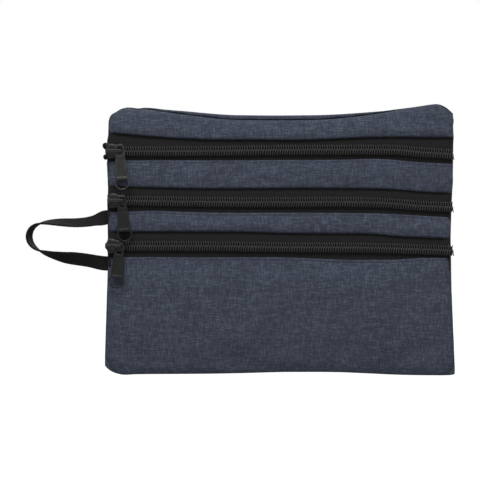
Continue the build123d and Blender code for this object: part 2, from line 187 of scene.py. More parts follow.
# centre line of each chain: (x, z)
ZIP_MID = {
    1: curve([
        (-110, 139.0), (-49, 139.0), (-37, 139.15), (0, 139.6), (18, 139.75), (38, 139.8),
        (62, 139.85), (72, 139.7), (80, 139.1), (87, 138.3), (98, 137.7), (108, 136.9),
    ]),
    2: curve([
        (-110, 108.4), (-92.6, 108.25), (-55, 107.7), (-24, 107.4), (10, 107.4), (25, 107.5),
        (50, 107.4), (62, 107.1), (75, 106.2), (87, 105.2), (100, 104.6), (108, 104.3),
    ]),
    3: curve([
        (-110, 80.4), (-92.6, 80.3), (-46, 80.2), (-20, 79.9), (4, 79.5), (25, 79.4), (62, 79.0),
        (81, 78.4), (100, 77.7), (108, 77.4),
    ]),
}
ZIPPERS = (1, 2, 3)
HALVES = {1: "upper", -1: "lower"}  # side of the chain's centre line

# centres of the closed sliders, from the CAD
SLIDER_X, SLIDER_Z = {}, {}
for zipper in ZIPPERS:
    low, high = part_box(f"zip{zipper}_slider")
    SLIDER_X[zipper] = 500 * (low.x + high.x)
    SLIDER_Z[zipper] = 500 * (low.z + high.z)

SWELL_WIDTH = 8.0  # how far in from the outline the pouch swells up from the seam


def across(share, z, inset=0.0):
    """X at a share of the pouch's width, at height z."""
    left, right = x_left(z) + inset, x_right(z) - inset
    return left + share * (right - left)


def edge_distance(x, z):
    """Distance in from the outline, rounded at the corners."""
    from_side = np.minimum(x - x_left(z), x_right(z) - x)
    from_end = np.minimum(z_top(x) - z, z - z_bottom(x))
    gap_x = np.maximum(SWELL_WIDTH - np.maximum(from_side, 0), 0)
    gap_z = np.maximum(SWELL_WIDTH - np.maximum(from_end, 0), 0)
    return np.clip(SWELL_WIDTH - np.sqrt(gap_x**2 + gap_z**2), 0, SWELL_WIDTH)


def swell(distance, width=SWELL_WIDTH):
    """Share of full thickness at a distance in from an edge."""
    t = 1 - np.clip(distance / width, 0, 1)
    return np.sqrt(np.maximum(1 - t**2.2, 0))


def make_noise(seed):
    """Smooth noise from -1 to 1 on a plane, with a lattice step of 1."""
    size = 257
    grid = np.random.RandomState(seed).rand(size, size) * 2 - 1

    def noise(x, z):
        # the shift keeps the lattice cells positive
        x = np.asarray(x, float) + 1000.0
        z = np.asarray(z, float) + 1000.0
        i, j = np.floor(x).astype(int), np.floor(z).astype(int)
        share_x, share_z = smooth(x - i), smooth(z - j)
        i, j, next_i, next_j = i % size, j % size, (i + 1) % size, (j + 1) % size
        near = grid[i, j] * (1 - share_x) + grid[next_i, j] * share_x
        far = grid[i, next_j] * (1 - share_x) + grid[next_i, next_j] * share_x
        return near * (1 - share_z) + far * share_z

    return noise


noise_a, noise_b, noise_c = make_noise(11), make_noise(29), make_noise(47)

# --------------------------------------------------------------------------
# Relief of the fabric: a sheet held along its seams, a little too large for
# them, is simulated as cloth. The buckles it settles into are kept as a
# height map that shapes the outer fabric and the back lining.
# --------------------------------------------------------------------------

CELL = 2.5
GRID_X = np.arange(-110, 110.1, CELL)
GRID_Z = np.arange(-2.5, 170.1, CELL)
CLOTH_FRAMES = 22
PIN_WIDTH = 3.0     # over which the hold at the outline fades
RELIEF_LIMIT = 1.1  # largest height kept


def settle(name, held, seed, slack):
    """Height map of a sheet pinned where held(x, z) is near 1."""
    columns, rows = len(GRID_X), len(GRID_Z)
    x, z = np.meshgrid(GRID_X, GRID_Z, indexing="ij")
    # uneven start, so that the sheet has something to buckle from
    start = 0.25 * make_noise(seed)(x / 24, z / 11) + 0.12 * make_noise(seed + 1)(x / 9, z / 5)
    pin = np.clip(held(x, z), 0, 1)
    start = start * (1 - pin)
    verts = np.stack([x, -start, z], axis=-1).reshape(-1, 3) * MM
    faces = [
        (i * rows + j, (i + 1) * rows + j, (i + 1) * rows + j + 1, i * rows + j + 1)
        for i in range(columns - 1)
        for j in range(rows - 1)
    ]
    mesh = bpy.data.meshes.new(name)
    mesh.from_pydata(verts.tolist(), [], faces)
    obj = bpy.data.objects.new(name, mesh)
    scene.collection.objects.link(obj)
    group = obj.vertex_groups.new(name="held")
    for i, weight in enumerate(pin.reshape(-1)):
        if weight > 0.02:
            group.add([i], float(weight), "REPLACE")
    cloth = obj.modifiers.new("cloth", "CLOTH")
    settings = cloth.settings
    settings.quality = 6
    settings.mass = 0.12
    settings.tension_stiffness = 22
    settings.compression_stiffness = 22
    settings.shear_stiffness = 9
    settings.bending_stiffness = 0.35
    settings.air_damping = 3
    settings.vertex_group_mass = "held"
    settings.shrink_min = -slack
    settings.effector_weights.gravity = 0.25
    cloth.collision_settings.use_self_collision = False
    cloth.collision_settings.use_collision = False
    cloth.point_cache.frame_start = 1
    cloth.point_cache.frame_end = CLOTH_FRAMES
    for f in range(1, CLOTH_FRAMES + 1):
        scene.frame_set(f)
    result = obj.evaluated_get(bpy.context.evaluated_depsgraph_get())
    places = np.zeros(len(verts) * 3)
    result.data.vertices.foreach_get("co", places)
    depth = -places.reshape(-1, 3)[:, 1].reshape(columns, rows) / MM
    scene.frame_set(1)
    bpy.data.objects.remove(obj)
    bpy.data.meshes.remove(mesh)
    # a light smoothing takes out the grid's own facets
    for _ in range(2):
        pad = np.pad(depth, 1, mode="edge")
        around = pad[:-2, 1:-1] + pad[2:, 1:-1] + pad[1:-1, :-2] + pad[1:-1, 2:]
        depth = (around + 4 * depth) / 8
    return RELIEF_LIMIT * np.tanh(depth / RELIEF_LIMIT)


def spline_weight(t):
    """Cubic B-spline weight."""
    t = np.abs(t)
    return np.where(t < 1, (4 - 6 * t**2 + 3 * t**3) / 6, np.where(t < 2, (2 - t) ** 3 / 6, 0))


def sampled(heights):
    """Smooth function of x, z over a height map."""
    columns, rows = heights.shape

    def height_at(x, z):
        x, z = np.broadcast_arrays(np.asarray(x, float), np.asarray(z, float))
        column = np.clip((x - GRID_X[0]) / CELL, 0, columns - 1.001)
        row = np.clip((z - GRID_Z[0]) / CELL, 0, rows - 1.001)
        i, j = column.astype(int), row.astype(int)
        total = 0
        for di in range(-1, 3):
            for dj in range(-1, 3):
                weight = spline_weight(column - i - di) * spline_weight(row - j - dj)
                near = heights[np.clip(i + di, 0, columns - 1), np.clip(j + dj, 0, rows - 1)]
                total = total + weight * near
        return total

    return height_at


def held_back(x, z):
    """Held along the outline only."""
    return 1 - smooth((edge_distance(x, z) - 1.0) / PIN_WIDTH)


def held_front(x, z):
    """Held along the outline, along the fabric edges at each zipper, and between them."""
    lines = 0
    for i in ZIPPERS:
        for side in (ZIP_UP, ZIP_LO):
            lines = np.maximum(lines, 0.8 * ridge(z - side[i](x), 2.6))
        lines = np.maximum(lines, np.where((z > ZIP_LO[i](x)) & (z < ZIP_UP[i](x)), 1.0, 0.0))
    return np.maximum(held_back(x, z), lines)


front_relief = sampled(settle("front_sheet", held_front, seed=71, slack=0.012))
back_relief = sampled(settle("back_sheet", held_back, seed=83, slack=0.010))

# finer unevenness: noise, height, span along x, span along z, shift in x, shift in z
FRONT_FOLDS = [
    (noise_a, 0.40, 34, 15, 0, 0),
    (noise_b, 0.22, 15, 6.5, 0, 0),
    (noise_c, 0.09, 6, 3.2, 0, 0),
]
BACK_FOLDS = [
    (noise_b, 0.45, -36, 17, 90, 0),
    (noise_c, 0.2, 14, 7, 0, 50),
]


def folds(layers, x, z):
    return sum(
        height * noise(x / span_x + shift_x, z / span_z + shift_z)
        for noise, height, span_x, span_z, shift_x, shift_z in layers
    )


def wrinkle_front(x, z):
    return front_relief(x, z) * 1.5 + folds(FRONT_FOLDS, x, z)


def wrinkle_back(x, z):
    return back_relief(x, z) * 1.6 + folds(BACK_FOLDS, x, z)


# --------------------------------------------------------------------------
# Mouths: when a zipper opens, its lower lip bulges forward and down, most in
# the middle and not at all at the ends. Only the shares of that motion are worked out here;
# nothing moves the lip.
# --------------------------------------------------------------------------

MOUTH_LEFT, MOUTH_RIGHT = -96, 90
MOUTH_EASE = 62         # length over which the motion grows from either end
PANEL_BEND = 56.0       # how far below zipper 3 the front panel bends


def lip_weight(zipper, x, z):
    """Share of the lower lip's motion at a point."""
    top = ZIP_LO[zipper](x)
    foot = ZIP_UP[zipper + 1](x) + 1.0 if zipper < 3 else top - PANEL_BEND
    rise = np.clip((z - foot) / (top - foot), 0, 1)
    if zipper == 3:
        rise = smooth(rise)
    return smooth((x - MOUTH_LEFT) / MOUTH_EASE) * smooth((MOUTH_RIGHT - x) / MOUTH_EASE) * rise


def open_with(obj, zipper):
    """Bakes obj's transform and works out the lower lip's weights at its points; the weights are
    not applied.
    """
    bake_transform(obj)
    # the lip's own weights at each point
    places = np.zeros(len(obj.data.vertices) * 3, np.float32)
    obj.data.vertices.foreach_get("co", places)
    places = places.reshape(-1, 3).astype(float) / MM
    weights = lip_weight(zipper, places[:, 0], places[:, 2]).astype(np.float32)


# --------------------------------------------------------------------------
# Mesh helpers
# --------------------------------------------------------------------------


def place_points(x, depth, z):
    """Points (n, 3) in millimetres from x, depth in front of the seams, and z."""
    return np.stack(np.broadcast_arrays(x, -depth, z), axis=1)


def there_and_back(first, second):
    """One closed section from two lines that run the same way."""
    return np.concatenate([first, second[::-1]])


def make_object(name, verts, faces, material, slot, *nodes, attributes=None):
    """Mesh from points in millimetres; it stands in for CAD nodes. slot is not used."""
    mesh = bpy.data.meshes.new(name)
    mesh.from_pydata((np.asarray(verts, float) * MM).tolist(), [], faces)
    for key, values in (attributes or {}).items():
        layer = mesh.attributes.new(key, "FLOAT", "POINT")
        layer.data.foreach_set("value", values.astype(np.float32))
    bm = bmesh.new()
    bm.from_mesh(mesh)
    bmesh.ops.remove_doubles(bm, verts=bm.verts, dist=1e-7)
    bmesh.ops.recalc_face_normals(bm, faces=bm.faces)
    bm.to_mesh(mesh)
    bm.free()
    mesh.polygons.foreach_set("use_smooth", [True] * len(mesh.polygons))
    obj = bpy.data.objects.new(name, mesh)
    scene.collection.objects.link(obj)
    obj.data.materials.append(material)
    if nodes:
        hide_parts(*nodes)
    return obj


def loft_faces(stations, count, closed=False):
    """Quads joining rings of count points; the end rings are capped unless the loft closes."""
    faces = []
    for i in range(stations if closed else stations - 1):
        near = i * count
        far = (i + 1) % stations * count
        for j in range(count):
            k = (j + 1) % count
            faces.append((near + j, near + k, far + k, far + j))
    if not closed:
        faces.append(tuple(range(count))[::-1])
        faces.append(tuple(range((stations - 1) * count, stations * count)))
    return faces


def loft(name, rings, material, slot, *nodes, closed=False, attributes=None):
    """Skin over rings: array (stations, points, 3) in millimetres."""
    rings = np.asarray(rings, float)
    stations, count, _ = rings.shape
    faces = loft_faces(stations, count, closed)
    verts = rings.reshape(-1, 3)
    return make_object(name, verts, faces, material, slot, *nodes, attributes=attributes)


def spaced(count):
    """0..1, closer together near both ends."""
    crowding = 0.35
    t = np.linspace(0, 1, count)
    return (1 - crowding) * t + crowding * (0.5 - 0.5 * np.cos(np.pi * t))


def unit(vectors):
    return vectors / np.maximum(np.linalg.norm(vectors, axis=1), 1e-9)[:, None]


def tube(points, radius, sides, reference=(1, 0, 0), squash=1.0):
    """Verts and faces of a tube along points; squash narrows its second axis."""
    tangent = unit(np.gradient(points, axis=0))
    first = unit(np.cross(tangent, np.asarray(reference, float)))
    second = np.cross(tangent, first)
    angle = np.linspace(0, 2 * np.pi, sides, endpoint=False)[None, :, None]
    radius = np.broadcast_to(np.asarray(radius, float), (len(points),))[:, None, None]
    squash = np.broadcast_to(np.asarray(squash, float), (len(points),))[:, None, None]
    rings = (
        points[:, None, :]
        + radius * np.cos(angle) * first[:, None, :]
        + radius * squash * np.sin(angle) * second[:, None, :]
    )
    return rings.reshape(-1, 3), loft_faces(len(points), sides)


def merged(parts):
    """Joins (verts, faces) pairs."""
    verts, faces, count = [], [], 0
    for part_verts, part_faces in parts:
        verts.append(part_verts)
        faces += [tuple(i + count for i in face) for face in part_faces]
        count += len(part_verts)
    return np.concatenate(verts), faces


# --------------------------------------------------------------------------
# Materials: all node-based, patterned by position. Distances in metres.
# --------------------------------------------------------------------------


class Nodes:
    """A material and short ways to add shader nodes to it."""

    def __init__(self, name):
        self.mat = bpy.data.materials.new(name)
        self.mat.use_nodes = True
        self.tree = self.mat.node_tree
        self.bsdf = self.tree.nodes["Principled BSDF"]

    def put(self, node, key, value):
        if isinstance(value, bpy.types.NodeSocket):
            self.tree.links.new(value, node.inputs[key])
        else:
            node.inputs[key].default_value = value

    def add(self, kind, inputs=None, **settings):
        node = self.tree.nodes.new(kind)
        for key, value in settings.items():
            setattr(node, key, value)
        for key, value in (inputs or {}).items():
            self.put(node, key, value)
        return node

    def math(self, operation, first, second=None, clamp=False):
        inputs = {0: first} if second is None else {0: first, 1: second}
        node = self.add("ShaderNodeMath", inputs, operation=operation, use_clamp=clamp)
        return node.outputs[0]

    def plus(self, first, second):
        return self.math("ADD", first, second)

    def minus(self, first, second):
        return self.math("SUBTRACT", first, second)

    def times(self, first, second, clamp=False):
        return self.math("MULTIPLY", first, second, clamp)

    def centred(self, value, weight):
        """Weighted swing of a 0..1 value about zero."""
        return self.times(self.minus(value, 0.5), weight)

    def mix(self, share, first, second):
        inputs = {0: share, 6: first, 7: second}
        return self.add("ShaderNodeMix", inputs, data_type="RGBA").outputs[2]

    def noise(self, vector, scale, detail=2.0, rough=0.5):
        inputs = {"Vector": vector, "Scale": scale, "Detail": detail, "Roughness": rough}
        return self.add("ShaderNodeTexNoise", inputs).outputs[0]

    def streaks(self, vector, scales, detail, rough=0.5):
        """Noise with its own scale along each axis."""
        mapping = self.add("ShaderNodeMapping", {"Vector": vector, "Scale": scales})
        return self.noise(mapping.outputs[0], 1.0, detail, rough)

    def place(self):
        return self.add("ShaderNodeTexCoord").outputs["Object"]

    def split(self, vector):
        return self.add("ShaderNodeSeparateXYZ", {0: vector}).outputs

    def wave(self, coordinate, period):
        """0..1 wave along a coordinate."""
        sine = self.math("SINE", self.times(coordinate, 2 * math.pi / period))
        return self.plus(self.times(sine, 0.5), 0.5)

    def ramp(self, value, stops):
        """Colour from (position, colour) stops."""
        node = self.add("ShaderNodeValToRGB", {0: value})
        elements = node.color_ramp.elements
        while len(elements) > 1:
            elements.remove(elements[-1])
        elements[0].position, elements[0].color = stops[0][0], (*stops[0][1], 1)
        for position, color in stops[1:]:
            elements.new(position).color = (*color, 1)
        return node.outputs[0]

    def bump(self, height, distance, strength, normal=None):
        inputs = {"Height": height, "Distance": distance, "Strength": strength}
        if normal is not None:
            inputs["Normal"] = normal
        return self.add("ShaderNodeBump", inputs).outputs[0]

    def finish(self, color, roughness, normal=None, specular=0.3, metallic=0.0, sheen=0.0):
        values = {
            "Base Color": color if isinstance(color, bpy.types.NodeSocket) else (*color, 1),
            "Roughness": roughness,
            "Specular IOR Level": specular,
            "Metallic": metallic,
        }
        if sheen:
            values["Sheen Weight"] = sheen
            values["Sheen Roughness"] = 0.45
        if normal is not None:
            values["Normal"] = normal
        for key, value in values.items():
            self.put(self.bsdf, key, value)
        return self.mat


def grey(value):
    return (value, value, value)


# dark, mid, light and brightest yarn
YARN_TONES = [
    (0.0320, 0.0375, 0.0560),
    (0.0435, 0.0520, 0.0770),
    (0.0575, 0.0685, 0.1000),
    (0.098, 0.114, 0.158),
]


def fabric_heather():
    """Plain weave in two yarn shades: fine crossed streaks over a navy grey."""
    n = Nodes("outer_fabric")
    place = n.place()
    x, _, z = n.split(place)
    across_yarn = n.streaks(place, (230, 60, 1900), detail=1.0)
    down_yarn = n.streaks(place, (1950, 60, 240), detail=1.0)
    speck = n.streaks(place, (1500, 60, 1300), detail=1.0)
    broad = n.noise(place, scale=38.0)
    long_streak = n.streaks(place, (60, 30, 620), detail=1.0, rough=0.4)
    yarn = n.plus(n.times(across_yarn, 0.42), n.times(down_yarn, 0.41))
    yarn = n.plus(n.plus(yarn, 0.085), n.centred(speck, weight=0.32))
    yarn = n.plus(yarn, n.centred(long_streak, weight=0.10))
    yarn = n.plus(yarn, n.centred(broad, weight=0.11))
    color = n.ramp(yarn, list(zip((0.36, 0.46, 0.53, 0.64), YARN_TONES)))
    warp, weft = n.wave(x, period=0.00056), n.wave(z, period=0.00050)
    weave = n.times(n.math("ABSOLUTE", n.minus(warp, weft)), 1.0)
    color = n.mix(n.times(weave, 0.35), color, (*YARN_TONES[0], 1))
    fuzz = n.noise(place, scale=2600.0, rough=0.6)
    height = n.plus(n.times(weave, -0.6), n.plus(n.times(yarn, 0.9), n.times(fuzz, 0.3)))
    rough = n.plus(n.times(fuzz, 0.15), 0.72)
    normal = n.bump(height, distance=0.00016, strength=0.8)
    return n.finish(color, rough, normal, specular=0.22, sheen=0.06)


def fabric_black(name, low, high, period_x, period_z, relief=0.00012):
    """Black woven cloth with visible ribs, coloured between low and high."""
    n = Nodes(name)
    place = n.place()
    x, _, z = n.split(place)
    weave = n.times(n.wave(x, period_x), n.wave(z, period_z))
    grain = n.streaks(place, (700, 300, 1500), detail=2.0, rough=0.6)
    tone = n.plus(n.times(weave, 0.55), n.times(grain, 0.45))
    color = n.ramp(tone, [(0.2, low), (0.8, high)])
    fuzz = n.noise(place, scale=3000.0, rough=0.6)
    rough = n.plus(n.times(fuzz, 0.15), 0.70)
    height = n.plus(weave, n.times(fuzz, 0.25))
    normal = n.bump(height, relief, strength=0.8)
    return n.finish(color, rough, normal, specular=0.18, sheen=0.03)


def webbing():
    """Flat black webbing: ribs across the strap, fine yarns along it, by its own coordinates."""
    n = Nodes("webbing")
    along, over = (
        n.add("ShaderNodeAttribute", attribute_name=key).outputs["Fac"]
        for key in ("strap_along", "strap_across")
    )
    stagger = n.times(n.wave(over, period=0.0015), 0.00035)
    ribs = n.wave(n.plus(along, stagger), period=0.00115)
    yarns = n.wave(over, period=0.00075)
    place = n.place()
    fuzz = n.noise(place, scale=2400.0, rough=0.6)
    drift = n.noise(place, scale=160.0)
    weave = n.times(ribs, n.plus(n.times(yarns, 0.5), 0.5))
    tone = n.plus(n.times(weave, 0.5), n.plus(n.times(fuzz, 0.25), n.times(drift, 0.25)))
    color = n.ramp(tone, [(0.2, (0.0078, 0.0078, 0.0077)), (0.75, (0.0205, 0.0205, 0.0200))])
    rough = n.plus(n.times(fuzz, 0.2), 0.72)
    normal = n.bump(n.plus(weave, n.times(fuzz, 0.2)), distance=0.00026, strength=0.9)
    return n.finish(color, rough, normal, specular=0.10)


def nylon():
    """Extruded coil: satin with a slight grain."""
    n = Nodes("zipper_coil")
    grain = n.streaks(n.place(), (900, 900, 900), detail=2.0)
    color = n.ramp(grain, [(0.3, grey(0.030)), (0.7, grey(0.056))])
    rough = n.plus(n.times(grain, 0.2), 0.24)
    return n.finish(color, rough, n.bump(grain, distance=0.00002, strength=0.4), specular=0.5)


def sewing_thread(name, low, high):
    """Twisted thread, striped slantwise between low and high."""
    n = Nodes(name)
    x, _, z = n.split(n.place())
    twist = n.wave(n.plus(x, n.times(z, 1.4)), period=0.00028)
    color = n.ramp(twist, [(0.1, low), (0.9, high)])
    normal = n.bump(twist, distance=0.00004, strength=0.7)
    return n.finish(color, roughness=0.6, normal=normal, specular=0.25)


def cast_metal(name, low, high, edge):
    """Black enamel over cast zinc: slight orange peel, fine scuffs, brighter on worn edges."""
    n = Nodes(name)
    place = n.place()
    peel = n.noise(place, scale=900.0)
    scuff = n.streaks(place, (350, 350, 2600), detail=3.0, rough=0.7)
    blotch = n.noise(place, scale=260.0, detail=3.0, rough=0.6)
    rounded = n.add("ShaderNodeBevel", {"Radius": 0.00030}, samples=6).outputs[0]
    true_normal = n.add("ShaderNodeNewGeometry").outputs["Normal"]
    inputs = {0: rounded, 1: true_normal}
    facing = n.add("ShaderNodeVectorMath", operation="DOT_PRODUCT", inputs=inputs).outputs["Value"]
    # wear shows where the rounded normal leaves the true one
    worn = n.times(n.minus(1.0, facing), 12.0, clamp=True)
    worn = n.times(worn, n.plus(n.times(blotch, 1.1), 0.05), clamp=True)
    tone = n.plus(n.times(blotch, 0.6), n.times(scuff, 0.4))
    base = n.ramp(tone, [(0.35, low), (0.7, high)])
    color = n.mix(worn, base, (*edge, 1))
    rough = n.plus(n.times(scuff, 0.28), 0.24)
    height = n.plus(n.times(peel, 0.6), n.times(scuff, 0.3))
    normal = n.bump(height, distance=0.00003, strength=0.5, normal=rounded)
    return n.finish(color, rough, normal, specular=0.5, metallic=0.35)


M_FABRIC = fabric_heather()
M_TAPE = fabric_black(
    "zipper_tape", low=(0.0085, 0.0080, 0.0090), high=(0.0290, 0.0280, 0.0300),
    period_x=0.00060, period_z=0.00085,
)
M_LINING = fabric_black(
    "lining", low=(0.010, 0.0105, 0.012), high=(0.024, 0.025, 0.028),
    period_x=0.00035, period_z=0.00035, relief=0.00006,
)
# dark seam tape: a real binding, and painted shade along the rolled seam
M_SEAM_TAPE_SHADE = fabric_black(
    "seam_tape", low=(0.009, 0.0095, 0.012), high=(0.020, 0.021, 0.026),
    period_x=0.0005, period_z=0.0005,
)
M_WEBBING = webbing()
M_COIL = nylon()
# near-black filler cord: the real cord inside the coil, and painted shade in the gaps between its
# wires
M_CORD_GAP_SHADE = fabric_black(
    "filler_cord_gap_shade", low=grey(0.0025), high=grey(0.0065), period_x=0.0006, period_z=0.0004
)
M_THREAD = sewing_thread("thread", low=(0.030, 0.034, 0.046), high=(0.060, 0.067, 0.088))
M_CHAIN_THREAD = sewing_thread("chain_thread", low=grey(0.010), high=grey(0.026))
M_SLIDER = cast_metal(
    "slider_metal", low=grey(0.0155), high=grey(0.0350), edge=(0.10, 0.099, 0.095)
)
M_TAB = cast_metal(
    "pull_tab_metal", low=(0.0090, 0.0093, 0.0091), high=(0.0200, 0.0205, 0.0200),
    edge=(0.050, 0.050, 0.048),
)
# lighter copy of the tab metal for tab 1, with brighter edges: painted highlight for the glare on
# that tab, over its worn edges
M_TAB_WORN_GLARE = cast_metal(
    "pull_tab_metal_worn_glare", low=grey(0.0170), high=(0.052, 0.052, 0.0510),
    edge=(0.22, 0.216, 0.208),
)

# --------------------------------------------------------------------------
# Front fabric: every band is one closed doubled layer with its own folds
# --------------------------------------------------------------------------

SHELL_DEPTH = 4.4    # the fabric's front face where it lies flat
TAPE_DEPTH = 3.22    # where it meets the zipper tape
FRONT_RIM = 0.85     # front face at the outline
REAR_RIM = 0.12      # rear face at the outline
MIN_THICKNESS = 0.55
BAND_STATIONS = 260
BAND_BACK_ROWS = 14  # rows down the unseen rear face

STITCH_DOWN = 1.75   # stitch line below a folded edge
STITCH_LENGTH, STITCH_GAP = 2.35, 0.65
STITCH_PITCH = STITCH_LENGTH + STITCH_GAP


def crown_top(x, from_foot, from_head):
    """Top strip: fullest just above its lower edge."""
    return 0.95 * ridge(from_foot - 3.6, 4.2) + 0.25 * smooth(from_head / 8)


def crown_strip(x, from_foot, from_head):
    """Narrow strips: rounded, fullest below the middle."""
    up = np.clip(from_foot / (from_foot + from_head), 0, 1)
    uneven = 0.9 + 0.1 * noise_a(x / 21, 0 * x + 3)
    return 0.25 + 1.15 * np.sin(np.pi * up**0.72) ** 1.1 * uneven


def crown_panel(x, from_foot, from_head):
    """Front panel: broad, low cushion that falls away towards the bottom seam."""
    up = np.clip(from_foot / (from_foot + from_head), 0, 1)
    side = smooth((x + 108) / 40) * smooth((108 - x) / 40)
    cushion = 1.5 * side * smooth(from_head / 16) * smooth(up / 0.5)
    return cushion - 1.3 * (1 - smooth(up / 0.34))


def front_depth(x, z, foot_z, head_z, crown, folded=True):
    """Depth of a band's front face, before its edges turn in."""
    from_foot, from_head = z - foot_z, head_z - z
    depth = SHELL_DEPTH + crown(x, from_foot, from_head)
    calm = smooth(from_head / 5.0) * smooth(from_foot / 4.0)
    depth = depth + wrinkle_front(x, z) * 0.42 * calm
    if folded:
        # the stitches pull in a groove and pucker the edge
        depth = depth - 0.20 * ridge(from_head - STITCH_DOWN, 0.42)
        pucker = np.sin(2 * np.pi * x / STITCH_PITCH)
        depth = depth + 0.10 * pucker * ridge(from_head - 1.0, 1.6)
    return depth


def front_top(x):
    return z_top(x) - slip(x)


def band(node, foot, head, crown, rows, head_fold=True, foot_roll=True):
    """Fabric between two height curves. The head is folded over, or sewn into the top seam;
    the foot hangs over the tape in a soft roll, or is sewn into the bottom seam."""
    middle_z = 0.5 * (foot(0.0) + head(0.0))
    rings = []
    for share in spaced(BAND_STATIONS):
        station_x = across(share, middle_z)
        foot_z, head_z = foot(station_x), head(station_x)
        t = np.linspace(0, 1, rows)
        z = mixed(foot_z, head_z, mixed(t, smooth(t), 0.5))
        x = across(share, z)
        from_foot, from_head = z - foot_z, head_z - z
        depth = front_depth(x, z, foot_z, head_z, crown, head_fold)
        if head_fold:
            depth = mixed(TAPE_DEPTH + 0.62, depth, quarter_round(from_head, 0.55))
        else:
            lowered = mixed(1.0, depth, 0.25 + 0.75 * quarter_round(from_head, 2.4))
            depth = mixed(depth, lowered, smooth((slip(x) - 0.35) / 0.8))
        if foot_roll:
            depth = mixed(TAPE_DEPTH + 0.75, depth, quarter_round(from_foot, 1.25))
        full = swell(edge_distance(x, z))
        front = mixed(FRONT_RIM, depth, full)
        rear = np.minimum(mixed(REAR_RIM, TAPE_DEPTH, full), front - MIN_THICKNESS)
        # the ring runs up the front and down the rear
        back = np.linspace(rows - 1, 0, BAND_BACK_ROWS).round().astype(int)
        ring = place_points(
            np.concatenate([x, x[back]]),
            np.concatenate([front, rear[back]]),
            np.concatenate([z, z[back]]),
        )
        # the rear layer stops short of a turned edge, so the edge is round
        if head_fold:
            ring[rows, 2] -= 0.30
        if foot_roll:
            ring[-1, 2] += 0.45
        rings.append(ring)
    return loft(f"{node}_fabric", rings, M_FABRIC, "outer_fabric", node)


# node, foot, head, crown, rows; bands 1 to 3 lie below the zipper of that number
BANDS = [
    ("top_strip", ZIP_UP[1], front_top, crown_top, 56),
    ("strip_upper", ZIP_UP[2], ZIP_LO[1], crown_strip, 64),
    ("strip_lower", ZIP_UP[3], ZIP_LO[2], crown_strip, 56),
    ("front_panel", z_bottom, ZIP_LO[3], crown_panel, 150),
]
for i, row in enumerate(BANDS):
    cloth_band = band(*row, head_fold=i > 0, foot_roll=i < 3)
    if i == 0:
        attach(cloth_band, "pouch")
    else:
        open_with(cloth_band, i)

# --------------------------------------------------------------------------
# Back panel and its lining. Distances here are behind the seams, +Y.
# --------------------------------------------------------------------------


def back_sheet(
    name, node, material, slot, rear_at, fore_at, rear_rim, fore_rim, inset, stations, rows,
    waves, hem=False,
):
    """A closed sheet over the whole outline; the rims are its two faces at the outline."""
    rings = []
    for share in spaced(stations):
        station_x = across(share, 80.0)
        z = mixed(z_bottom(station_x) + inset, z_top(station_x) - inset, spaced(rows))
        x = across(share, z, inset)
        full = swell(edge_distance(x, z))
        wave = waves * wrinkle_back(x, z)
        rear = mixed(rear_rim, rear_at + wave, full)
        fore = mixed(fore_rim, fore_at + wave * 0.8, full)
        fore = np.minimum(fore, rear - 0.2)
        if hem:
            # where the front strip hangs low, the top edge rolls over towards the front
            down = z_top(x) - z
            fold = smooth((slip(x) - 0.05 - down) / 0.35) * smooth((slip(x) - 0.45) / 0.6)
            fore = mixed(fore, 0.25 - 0.75 * quarter_round(down, 0.9), fold)
        rings.append(
            place_points(there_and_back(x, x), -there_and_back(rear, fore), there_and_back(z, z))
        )
    obj = loft(name, rings, material, slot, node)
    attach(obj, "pouch")


back_sheet(
    "back_panel_fabric", "back_panel", M_FABRIC, "outer_fabric", rear_at=3.6, fore_at=2.7,
    rear_rim=0.85, fore_rim=0.12, inset=0.0, stations=150, rows=170, waves=0.35, hem=True,
)
back_sheet(
    "back_lining_sheet", "back_lining", M_LINING, "lining", rear_at=2.35, fore_at=2.05,
    rear_rim=0.1, fore_rim=-0.1, inset=2.5, stations=90, rows=70, waves=0.25,
)

# --------------------------------------------------------------------------
# Dividers: soft sheets that stand inside and turn forward above their zipper
# --------------------------------------------------------------------------

DIVIDER_HALF_THICKNESS = 0.16
DIVIDER_REACH = 2.36  # depth of the front end
DIVIDER_BEND = 0.8    # radius where the sheet turns forward
DIVIDER_LIP = 0.5     # radius where its front end turns up


